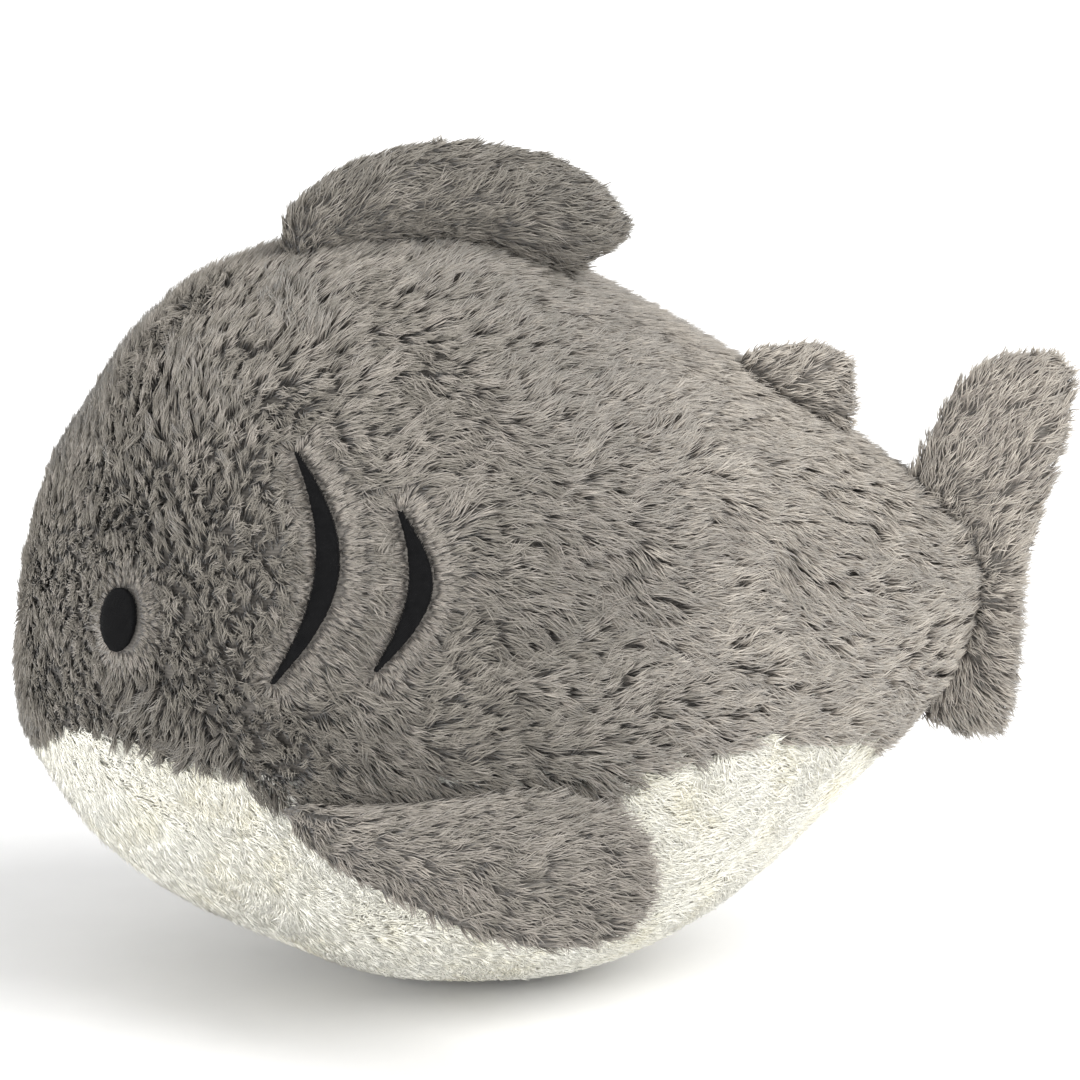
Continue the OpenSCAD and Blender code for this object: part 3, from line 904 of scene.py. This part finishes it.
def grey_body_fur():
    rng, root, normal, grey = body_tufts(GREY_SPACING, 11)
    root, normal = root[grey], normal[grey]
    distance, away = patch_distance(root, normal)
    root = raised(root, normal, distance)
    keep = distance > 0.9 * MM
    root, normal, distance, away = root[keep], normal[keep], distance[keep], away[keep]
    n = len(root)
    y, z = root[:, 1], root[:, 2]
    cheek = ease(y, *NOSE_END) * (1.0 - ease(y, *CHEEK_END))
    cheek = cheek * (1.0 - 0.6 * ease(z, *CROWN))
    nose = 1.0 - ease(y, *NOSE_END)
    rear = ease(y, *REAR)
    top = ease(z, *BACK)
    low = 1.0 - ease(z, *LOW_SIDE)
    near = 1.0 - ease(distance, 4 * MM, 14 * MM)
    beside = 1.0 - ease(distance, 2 * MM, 7 * MM)
    way = np.stack([0.25 * np.sign(root[:, 0]) * cheek, np.full(n, 1.0),
                    0.45 * top - 0.2 * low - 0.15 * cheek], -1)
    flow = across(way, normal)
    swirl = 0.55 * waves(root, 75 * MM, 5) + 0.35 * waves(root, 26 * MM, 6)
    swirl = swirl * (1.0 + 0.9 * cheek) + rng.normal(0.0, 0.24, n) * (1.0 + 1.6 * cheek)
    flow = turned(flow, normal, swirl * (1.0 - 0.8 * near))
    away = across(away + 0.08 * flow, normal)
    flow = across(flow * (1.0 - near)[:, None] + away * near[:, None], normal)
    patchy = waves(root, 18 * MM, 7)
    lean = np.radians(38.0 + 12.0 * nose - 18.0 * cheek + 44.0 * np.maximum(near, beside))
    lean = np.minimum(lean, math.radians(84.0))
    bend = np.radians(80.0 + 4.0 * nose - 20.0 * cheek + 26.0 * near)
    bend = np.minimum(bend, math.radians(88.0))
    length = (12.0 - 2.6 * cheek - 3.0 * nose + 0.8 * patchy) * MM
    length = length * (1.0 - 0.40 * near - 0.18 * beside)
    length = length * (1.0 - 0.35 * ease(y, *TAIL) * (1.0 - ease(z, *UNDER_TAIL)))
    # Painted light and shade in the tone: the rear is painted lighter where the key light falls from the
    # tail side, the top of the back is painted lighter as lit from above, and the low side and the
    # cheeks are painted darker as they lie in shade. The patchy and random parts are the pile's own
    # tone.
    tone = 0.32 + 0.07 * patchy + rng.normal(0.0, 0.11, n) + 0.07 * near + 0.50 * rear
    tone = tone - 0.14 * cheek - 0.12 * low * (1.0 - rear) + 0.10 * top
    gather = drawn_together(root, normal, LOCK, 13, 0.62 * (1.0 - near))
    tufts = tufts_at(root, normal, flow, 10, length=length, lean=lean, bend=bend,
                     spread=1.9 * MM * (1.0 - 0.2 * near), pinch=0.86 - 0.6 * near,
                     stray=0.15 * (1.0 - 0.5 * near), thick=THICK, tone=tone, gather=gather)
    for side, keep in (("left", root[:, 0] >= 0), ("right", root[:, 0] < 0)):
        cover_with_fur(f"{side}_side_pile", picked(tufts, keep), 21 if side == "left" else 22,
                       GREY_FUR, on_body)


def stitch_edge_fur():
    """Short fine pile pressed flat round the embroidery, pointing away from it."""
    rng, root, normal, _ = body_tufts(EDGE_SPACING, 14)
    distance, away = patch_distance(root, normal)
    root = raised(root, normal, distance)
    keep = (distance > 0.5 * MM) & (distance < 6.5 * MM)
    root, normal = root[keep], normal[keep]
    n = len(root)
    flow = turned(across(away[keep], normal), normal, rng.normal(0.0, 0.14, n))
    tufts = tufts_at(root, normal, flow, 7, length=rng.uniform(3.8, 5.0, n) * MM,
                     lean=math.radians(76.0), bend=math.radians(87.0), spread=0.6 * MM, pinch=0.3,
                     stray=0.08, thick=0.17 * MM, tone=0.50 + rng.normal(0.0, 0.08, n),
                     gather=np.zeros((n, 3)))
    cover_with_fur("embroidery_edge_pile", tufts, 24, GREY_FUR, on_body)


def white_body_fur():
    rng, root, normal, grey = body_tufts(WHITE_SPACING, 12)
    root, normal = root[~grey], normal[~grey]
    n = len(root)
    flow = across(np.array([0.0, 1.0, -0.35]) * np.ones((n, 1)), normal)
    swirl = 0.7 * waves(root, 60 * MM, 15) + 0.4 * waves(root, 22 * MM, 16)
    flow = turned(flow, normal, swirl + rng.normal(0.0, 0.35, n))
    under = 1.0 - ease(root[:, 2], 0.004, 0.02)
    patchy = waves(root, 16 * MM, 17)
    lean = np.radians(64.0 + 20.0 * under)
    bend = np.radians(86.0 + 2.0 * under)
    length = (9.2 + 0.7 * patchy) * MM * (1.0 - 0.5 * (1.0 - ease(root[:, 2], 0.01, 0.05)))
    gather = drawn_together(root, normal, LOCK, 18, 0.2)
    tone = 0.5 + 0.2 * patchy + 0.15 * waves(root, 45 * MM, 19) + rng.normal(0.0, 0.05, n)
    tufts = tufts_at(root, normal, flow, 13, length=length, lean=lean, bend=bend,
                     spread=2.3 * MM, pinch=0.4, stray=0.35, thick=THICK, tone=tone, gather=gather)
    cover_with_fur("belly_pile", tufts, 23, WHITE_FUR, on_body)


# ---- Fins ----

FIN_SWELL = 1.4 * MM
SKIRT_RISE = 9.0 * MM
TUFT_AREA = 2.4 * MM * MM
FIN_SPACING = 2.25 * MM
FIN_LOCK = 4.2 * MM


USUAL_FIN = {"halves": ("left", "right"), "voxel": 2.4, "shrink": 0.0, "skirt": 6.0, "lean": 64.0,
             "gather": 0.32, "trim": 0.45}
PECTORAL = {**USUAL_FIN, "halves": ("upper", "lower"), "tone": 0.48, "length": 11.0, "shrink": 2.2,
            "sweep": 0.8, "trim": 0.70}
# Each fin's tone holds painted light and shade: the dorsal fin is painted darker as its upright face
# lies in shade, and the second dorsal fin and the tail fin are painted lighter as the key light falls on
# them from the tail side.
FINS = {
    "dorsal_fin": {**USUAL_FIN, "seed": 31, "tone": 0.22, "length": 10.5, "sweep": 0.2},
    "second_dorsal_fin": {**USUAL_FIN, "seed": 32, "tone": 0.78, "length": 9.0, "sweep": 0.0,
                          "voxel": 1.8, "shrink": -0.2, "lean": 74.0, "gather": 0.10},
    "tail_fin": {**USUAL_FIN, "seed": 33, "tone": 0.78, "length": 10.0, "sweep": 0.5,
                 "shrink": 0.8, "skirt": 10.0, "lean": 72.0, "gather": 0.14},
    "left_pectoral": {**PECTORAL, "seed": 34},
    "right_pectoral": {**PECTORAL, "seed": 35},
}


def fin_body(fin):
    return fin if fin.endswith("_fin") else fin + "_fin"


def fin_nodes(fin):
    halves = [f"{fin}_{h}_cover" for h in FINS[fin]["halves"]]
    return halves, f"{fin}_stuffing", f"{fin}_root_thread"


def fin_directions(fin):
    """The hinge point, the hinge direction and the way out of the body."""
    joint = next(j for j in frame["joints"] if j["child"] == fin_body(fin))
    pivot = np.array(joint["pos_m"])
    axis = unit(np.array(joint["axis"], float))
    covers = np.vstack([points_of(NODES[n]) for n in fin_nodes(fin)[0]])
    out = covers.mean(0) - pivot
    out = unit(out - axis * (out @ axis))
    return pivot, axis, out


def fin_form(fin):
    """Stuffed shape of one fin, closed, with a skirt that reaches into the body's pile."""
    covers, stuffing, thread = fin_nodes(fin)
    _, axis, out = fin_directions(fin)
    obj = joined_copy([*covers, stuffing], fin + "_form")
    obj = remeshed(obj, FINS[fin]["voxel"] * MM)
    largest_part(obj)
    obj = smoothed(obj, 3)
    tree = tree_of(points_of(NODES[thread]))
    points = points_of(obj)
    foot = np.array([tree.find(p)[0] for p in points])
    upward = body_normal(*polar(foot))
    rise = np.sum((points - foot) * upward, axis=1)
    points = points - normals_of(obj) * FINS[fin]["shrink"] * MM
    points = points - upward * (FINS[fin]["skirt"] * MM * (1.0 - ease(rise, 0.0, SKIRT_RISE)))[:, None]
    set_points(obj, points)
    facing = np.cross(axis, out)
    rim = np.abs(normals_of(obj) @ facing) < 0.35
    inflate(obj, rim, FIN_SWELL)
    return obj


def fin_skin(form, fin, half, sign):
    """One cover of a fin: half of its form as a sewn shell of backing cloth."""
    pivot, axis, out = fin_directions(fin)
    facing = np.array([1.0, 0.0, 0.0])
    if fin.endswith("pectoral"):
        facing = np.cross(axis, out)
        facing = facing * np.sign(facing[2])
    bm = bmesh.new()
    bm.from_mesh(form.data)
    geometry = list(bm.verts) + list(bm.edges) + list(bm.faces)
    bmesh.ops.bisect_plane(bm, geom=geometry, plane_co=Vector(pivot),
                           plane_no=Vector(-facing * sign), clear_outer=True)
    mesh = bpy.data.meshes.new(f"{fin}_{half}_skin")
    bm.to_mesh(mesh)
    bm.free()
    obj = linked(mesh.name, mesh)
    skin = modified(obj, "SOLIDIFY", thickness=CLOTH, offset=-1.0)
    finished(skin, GREY_CLOTH, None, "grey_plush", f"{fin}_{half}_cover")
    join_to_body(skin, fin)


def join_to_body(obj, fin):
    pivot, _, out = fin_directions(fin)
    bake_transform(obj)


def fin_fur(form, fin):
    kind = FINS[fin]
    rng = np.random.default_rng(kind["seed"])
    pivot, axis, out = fin_directions(fin)
    points = points_of(form)
    shade = normals_of(form)
    tri = triangles_of(form)
    corner = points[tri]
    area = np.linalg.norm(np.cross(corner[:, 1] - corner[:, 0], corner[:, 2] - corner[:, 0]), axis=1) / 2
    count = int(area.sum() / TUFT_AREA)
    pick = rng.choice(len(tri), count, p=area / area.sum())
    a = rng.uniform(size=(count, 1))
    b = rng.uniform(size=(count, 1))
    flip = a + b > 1.0
    a = np.where(flip, 1.0 - a, a)
    b = np.where(flip, 1.0 - b, b)
    c = 1.0 - a - b
    p = corner[pick]
    root = a * p[:, 0] + b * p[:, 1] + c * p[:, 2]
    s = shade[tri[pick]]
    normal = unit(a * s[:, 0] + b * s[:, 1] + c * s[:, 2])
    rise = (root - pivot) @ out
    keep = (normal @ out > -0.75) | (rise > 12.0 * MM)
    root, normal = root[keep], normal[keep]
    even = scattered(root, FIN_SPACING)
    root, normal = root[even], normal[even]
    n = len(root)
    thread = points_of(NODES[fin_nodes(fin)[2]])
    fore = thread[thread[:, 1].argmin()] - out * 10.0 * MM
    if fin == "tail_fin":
        fore = pivot - out * 20.0 * MM
    flow = across(unit(root - fore) + (0.0, kind["sweep"], 0.0), normal)
    swirl = 0.3 * waves(root, 30 * MM, 8) + rng.normal(0.0, 0.24, n)
    flow = turned(flow, normal, swirl)
    edge = 1.0 - np.abs(normal @ unit(np.cross(axis, out)))
    patchy = waves(root, 14 * MM, 9)
    length = (kind["length"] + 0.7 * patchy) * MM * (1.0 - kind["trim"] * edge)
    gather = drawn_together(root, normal, FIN_LOCK, 19, kind["gather"])
    # The fin's tone from FINS is painted light and shade for the dorsal, second dorsal and tail fins;
    # the patchy and random parts are the pile's own tone.
    tone = kind["tone"] + 0.07 * patchy + rng.normal(0.0, 0.09, n)
    tufts = tufts_at(root, normal, flow, 10, length=length, lean=np.radians(kind["lean"]),
                     bend=np.radians(86.0 - 4.0 * edge), spread=1.9 * MM, pinch=0.7, stray=0.18,
                     thick=THICK, gather=gather, tone=tone)
    cover_with_fur(f"{fin}_pile", tufts, kind["seed"] + 10, GREY_FUR,
                   lambda o: join_to_body(o, fin))


def make_fin(fin):
    """A fin's pile and covers. The CAD thread of its root seam stays, in a thread's material."""
    form = fin_form(fin)
    fin_fur(form, fin)
    for half, sign in zip(FINS[fin]["halves"], (1.0, -1.0)):
        fin_skin(form, fin, half, sign)
    bpy.data.objects.remove(form)
    dressed(NODES[fin_nodes(fin)[2]], GREY_THREAD)


# ---- Filling ----

def filling(node_name, voxel, shrink):
    """Lumpy fibre filling in the place of a stuffing solid."""
    obj = remeshed(joined_copy([node_name], node_name.replace("stuffing", "filling")), voxel)
    obj = smoothed(obj, 4)
    points = points_of(obj)
    lumps = 0.6 * waves(points, 30 * MM, 41) + 0.4 * waves(points, 12 * MM, 42)
    set_points(obj, points - normals_of(obj) * (shrink * (1.0 + 0.45 * lumps))[:, None])
    finished(obj, FIBRE, None, "fibre_fill", node_name)
    return obj


def all_fillings():
    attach(filling("body_stuffing", 5.0 * MM, 4.0 * MM), "shark_body")
    for fin in FINS:
        join_to_body(filling(f"{fin}_stuffing", 2.0 * MM, 1.6 * MM), fin)


# ---- Thread work ----

THREAD = 0.3 * MM
LADDER_THREAD = 0.28 * MM
SATIN_THREAD = 0.27 * MM
STITCH_PITCH = 4.5 * MM
STITCH_SHARE = 0.78
SATIN_PITCH = 0.40 * MM
LADDER_STITCHES = 14
OUTSIDE = 0.4


def tubes(paths, radius, sides):
    """Closed round tubes along paths of the same number of points; paths is (count, steps, 3)."""
    count, steps, _ = paths.shape
    ahead = unit(np.gradient(paths, axis=1))
    guide = np.array([0.31, 0.17, 0.93])
    one = unit(np.cross(ahead, guide))
    two = np.cross(ahead, one)
    turn = np.arange(sides) * 2.0 * math.pi / sides
    fat = radius * np.concatenate([[0.55], np.ones(steps - 2), [0.55]])[None, :, None, None]
    rings = (paths[:, :, None] + fat * (one[:, :, None] * np.cos(turn)[None, None, :, None]
                                        + two[:, :, None] * np.sin(turn)[None, None, :, None]))
    points = np.concatenate([rings.reshape(count, -1, 3), paths[:, :1], paths[:, -1:]], 1)
    grid = np.arange(steps * sides).reshape(steps, sides)
    nxt = np.roll(grid, -1, 1)
    wall = np.stack([grid[:-1], nxt[:-1], nxt[1:], grid[1:]], -1).reshape(-1, 4)
    tri = np.vstack([wall[:, [0, 1, 2]], wall[:, [0, 2, 3]],
                     np.stack([nxt[0], grid[0], np.full(sides, steps * sides)], -1),
                     np.stack([grid[-1], nxt[-1], np.full(sides, steps * sides + 1)], -1)])
    size = steps * sides + 2
    corners = (tri[None] + size * np.arange(count)[:, None, None]).reshape(-1, 3)
    return points.reshape(-1, 3), corners


def stitch_row(name, theta, phi, stands_for):
    """A row of sewing stitches that dip into the cloth at both ends, along a line on the body."""
    line = body_point(theta, phi)
    arc = arc_lengths(line)
    starts = np.arange(2.0 * MM, arc[-1] - STITCH_PITCH, STITCH_PITCH)
    share = np.linspace(0.0, 1.0, 7)
    where = starts[:, None] + share[None] * STITCH_PITCH * STITCH_SHARE
    t = np.interp(where, arc, theta)
    f = np.interp(where, arc, phi)
    lift = (1.1 * np.sin(math.pi * share) - 1.4) * MM
    paths = body_point(t, f) + body_normal(t, f) * lift[None, :, None]
    obj = mesh_object(name, *tubes(paths, THREAD, 6))
    finished(obj, GREY_THREAD, "shark_body", "grey_thread", stands_for)


def body_stitches():
    theta = np.linspace(0.12, math.pi - 0.12, 400)
    stitch_row("back_seam_stitches", theta, 0.0 * theta, "back_seam_thread")
    theta = np.linspace(SEAM[0][1] + 0.04, SEAM[0][-2] - 0.04, 400)
    stitch_row("left_belly_seam_stitches", theta, seam_phi(theta), "left_belly_seam_thread")
    stitch_row("right_belly_seam_stitches", theta, -seam_phi(theta), "right_belly_seam_thread")
    low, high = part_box("closing_stitches")
    ends = polar(np.array([[low.x, low.y, low.z], [low.x, high.y, low.z]]))[0]
    t = np.linspace(ends[0], ends[1], LADDER_STITCHES + 1)
    pairs = []
    for k in range(LADDER_STITCHES):
        a = body_point(t[k:k + 1], -seam_phi(t[k:k + 1]) - 0.012)[0]
        b = body_point(t[k + 1:k + 2], -seam_phi(t[k + 1:k + 2]) + 0.012)[0]
        n = body_normal(t[k:k + 1], -seam_phi(t[k:k + 1]))[0]
        s = np.linspace(0.0, 1.0, 7)[:, None]
        pairs.append(a + (b - a) * s + n * (1.3 * np.sin(math.pi * s) - 1.2) * MM)
    obj = mesh_object("closing_ladder_stitches", *tubes(np.array(pairs), LADDER_THREAD, 6))
    finished(obj, GREY_THREAD, "shark_body", "grey_thread", "closing_stitches")


def embroidery(node_name, seed):
    """Satin stitches side by side across an embroidered patch, over the CAD pad."""
    rng = np.random.default_rng(seed)
    pad = NODES[node_name]
    points = points_of(pad)
    tree = surface_of(pad)
    low, high = points.min(0), points.max(0)
    side = 1.0 if low[0] > 0 else -1.0
    ys = np.linspace(low[1] - 1 * MM, high[1] + 1 * MM, 160)
    zs = np.arange(low[2] + 0.3 * MM, high[2] - 0.2 * MM, SATIN_PITCH)
    rows = []
    for z in zs:
        hits = [y for y in ys
                if tree.ray_cast(Vector((OUTSIDE * side, y, z)), Vector((-side, 0, 0)))[0]]
        rows.append((min(hits), max(hits)) if hits else (np.nan, np.nan))
    rows = np.array(rows)
    good = ~np.isnan(rows[:, 0])
    zs = zs[good]
    rows = rows[good]
    soft = np.ones(5) / 5.0
    first = np.convolve(np.pad(rows[:, 0], 2, "edge"), soft, "valid")
    last = np.convolve(np.pad(rows[:, 1], 2, "edge"), soft, "valid")
    share = np.linspace(0.0, 1.0, 11)
    paths = []
    for z, a, b in zip(zs, first, last):
        a = a - rng.uniform(0.1, 0.5) * MM
        b = b + rng.uniform(0.1, 0.5) * MM
        path = []
        for s in share:
            y = a + (b - a) * s
            inside = min(max(y, a + 0.9 * MM), b - 0.9 * MM)
            hit = tree.ray_cast(Vector((OUTSIDE * side, inside, z)), Vector((-side, 0, 0)))
            if hit[0] is None:
                hit = tree.find_nearest(Vector((points[:, 0].mean(), inside, z)))
            fall = min(s, 1.0 - s)
            lift = (0.55 * math.sin(math.pi * s) + 0.1 - 2.6 * max(0.0, 0.1 - fall) / 0.1) * MM
            n = Vector((side, 0.0, 0.0))
            path.append(np.array(hit[0] + n * lift) + np.array([0.0, y - inside, 0.0]))
        paths.append(path)
    obj = mesh_object(node_name + "_stitches", *tubes(np.array(paths), SATIN_THREAD, 6))
    finished(obj, BLACK_THREAD, "shark_body", "black_satin_stitch")
    dressed(pad, BLACK_THREAD)


# ---- Light, floor and camera ----

LENS = 600.0
SENSOR = 36.0
PICTURE_WIDTH = 0.4022
CAMERA_RISE = math.radians(15.0)
CAMERA_TARGET = Vector((0.0, 0.0, 0.1658))
FLAT_RADIUS = 13.0
RIM_RADIUS = 6.0


def look_at(obj, target):
    obj.rotation_euler = (Vector(target) - obj.location).to_track_quat("-Z", "Y").to_euler()


def lamp(name, kind, place, target, power, **settings):
    data = bpy.data.lights.new(name, kind)
    data.energy = power
    for key, value in settings.items():
        setattr(data, key, value)
    made = linked(name, data)
    made.location = place
    look_at(made, target)


def floor():
    """Pale studio paper: a wide flat disc whose rim curves up like a bowl, far from the object."""
    turns = 96
    inner = np.linspace(0.02, 1.0, 20) ** 1.5 * FLAT_RADIUS
    bend = np.linspace(0.0, math.pi / 2, 12)[1:]
    radii = np.concatenate([inner, FLAT_RADIUS + RIM_RADIUS * np.sin(bend)])
    heights = np.concatenate([0.0 * inner, RIM_RADIUS * (1.0 - np.cos(bend))])
    around = np.linspace(0.0, 2.0 * math.pi, turns, endpoint=False)
    rings = np.stack([radii[:, None] * np.cos(around), radii[:, None] * np.sin(around),
                      heights[:, None] * np.ones(turns)], -1)
    points = np.vstack([rings.reshape(-1, 3), [[0.0, 0.0, 0.0]]])
    g = np.arange(len(radii) * turns).reshape(-1, turns)
    nxt = np.roll(g, -1, 1)
    cells = np.stack([g[:-1], g[1:], nxt[1:], nxt[:-1]], -1).reshape(-1, 4)
    faces = np.vstack([cells[:, [0, 1, 2]], cells[:, [0, 2, 3]],
                       np.stack([np.full(turns, len(points) - 1), g[0], nxt[0]], -1)])
    obj = mesh_object("floor", points, faces)
    material, tree, shader = link_nodes("studio_paper")
    grain = node(tree, "ShaderNodeTexNoise", Scale=30.0, Detail=4.0)
    placed(tree, grain)
    colour = ramp(tree, grain.outputs["Fac"], ((0.3, (0.93, 0.93, 0.93)), (0.7, (0.95, 0.95, 0.95))))
    tree.links.new(colour, shader.inputs["Base Color"])
    preset(shader, {"Roughness": 1.0, "Specular IOR Level": 0.0})
    obj.data.materials.append(material)


def world():
    scene = bpy.context.scene
    made = bpy.data.worlds.new("studio")
    made.use_nodes = True
    preset(made.node_tree.nodes["Background"], {"Color": (1.0, 1.0, 1.0, 1.0), "Strength": 0.8})
    scene.world = made
    scene.view_settings.view_transform = "Standard"


def lights():
    """One very soft key from above and behind the shark's left, and a faint fill from in front."""
    lamp("key", "SUN", (0.8, 1.5, 1.5), (0.0, 0.0, 0.0), 3.0,
         angle=math.radians(50.0), color=(1.0, 0.995, 0.985))
    lamp("fill", "AREA", (1.8, -1.2, 0.25), (0.0, -0.05, 0.06), 36.0, shape="DISK", size=1.4)


def camera():
    data = bpy.data.cameras.new("camera")
    data.lens = LENS
    data.sensor_width = SENSOR
    data.clip_start = 0.1
    data.clip_end = 60.0
    obj = linked("camera", data)
    away = PICTURE_WIDTH * LENS / SENSOR
    way = Vector((math.cos(CAMERA_RISE), 0.0, math.sin(CAMERA_RISE)))
    obj.location = CAMERA_TARGET + way * away
    look_at(obj, CAMERA_TARGET)
    bpy.context.scene.camera = obj


camera()
world()
lights()
floor()
body_skins()
grey_body_fur()
stitch_edge_fur()
white_body_fur()
for fin_name in FINS:
    make_fin(fin_name)
all_fillings()
body_stitches()
for first_seed, side_name in ((50, "left"), (60, "right")):
    for step, patch_name in enumerate(PATCHES[side_name]):
        embroidery(patch_name, first_seed + step)
